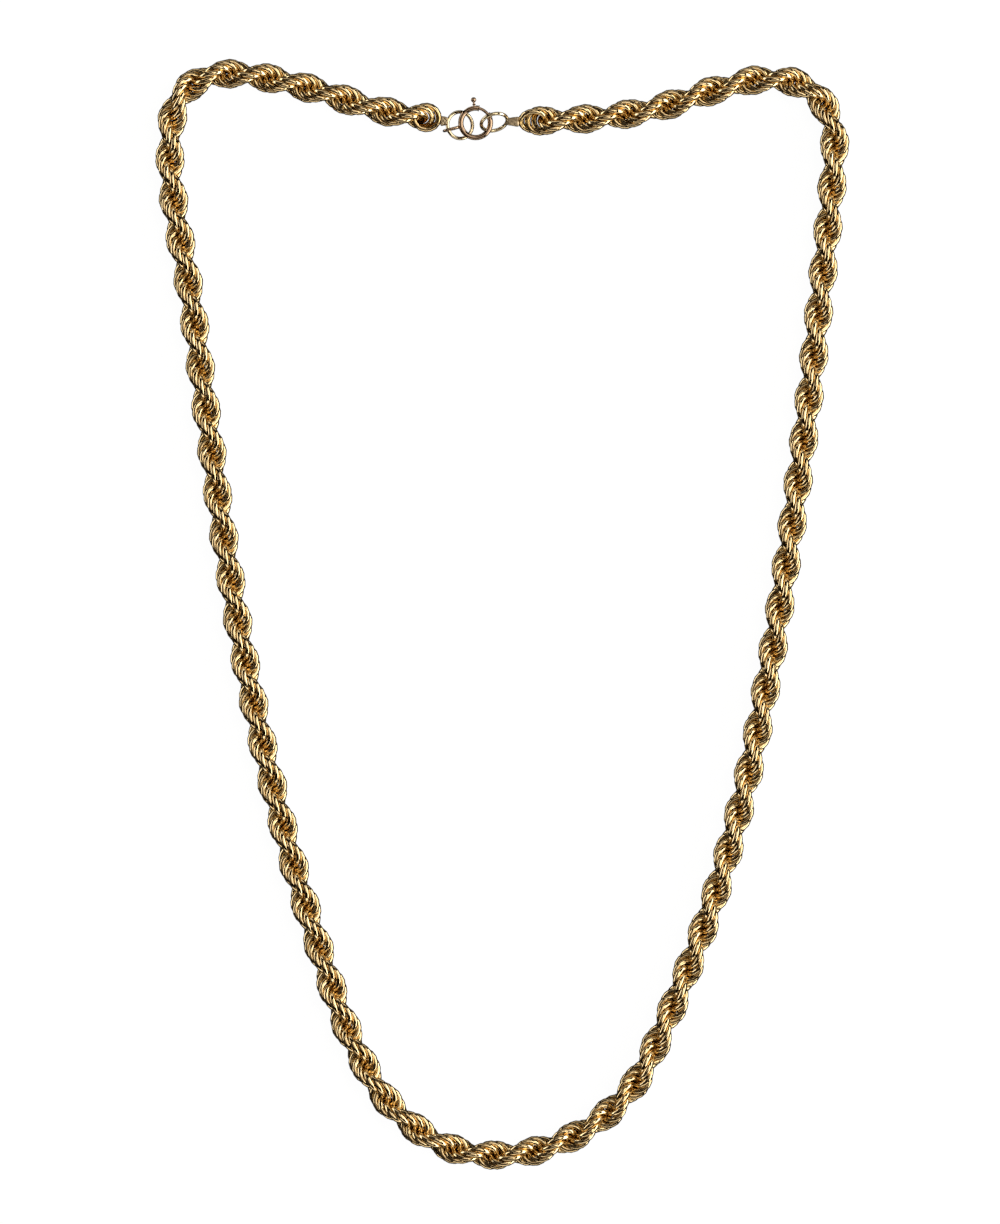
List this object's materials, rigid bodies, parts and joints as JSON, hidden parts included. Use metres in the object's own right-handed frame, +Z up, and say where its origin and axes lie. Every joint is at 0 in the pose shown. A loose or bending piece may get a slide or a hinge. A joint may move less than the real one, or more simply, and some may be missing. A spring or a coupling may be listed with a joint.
{
  "type": "rope chain necklace",
  "caption": "Twisted rope chain necklace in yellow gold, laid out as a closed loop, with plain end rings and a spring bolt ring clasp.",
  "frame": {"origin": "on the surface that the chain lies on, below the middle of the loop's outline", "axes": "+X to the right of the loop in plan, +Y from the lowest point of the loop to the clasp, +Z up from the surface"},
  "size_m": [0.1176, 0.1878, 0.0052],
  "materials": {
    "rope_gold": "polished yellow gold of low carat",
    "pale_gold": "polished pale yellow gold",
    "clasp_gold": "polished rosy gold, lightly worn"
  },
  "bodies": {
    "chain": {"rope_chain": "rope_gold", "left_end_ring": "pale_gold", "right_end_ring": "pale_gold", "bolt_ring": "clasp_gold"},
    "bolt": {"ring_bolt": "clasp_gold"}
  },
  "joints": [
    {"name": "bolt_slide_round", "type": "hinge", "parent": "chain", "child": "bolt", "pos_m": [-0.00449, 0.08307, 0.00258], "axis": [0, 0, 1], "range_deg": [0, 45], "stiffness_Nm_per_rad": 0.003, "springref_deg": -17.19}
  ]
}
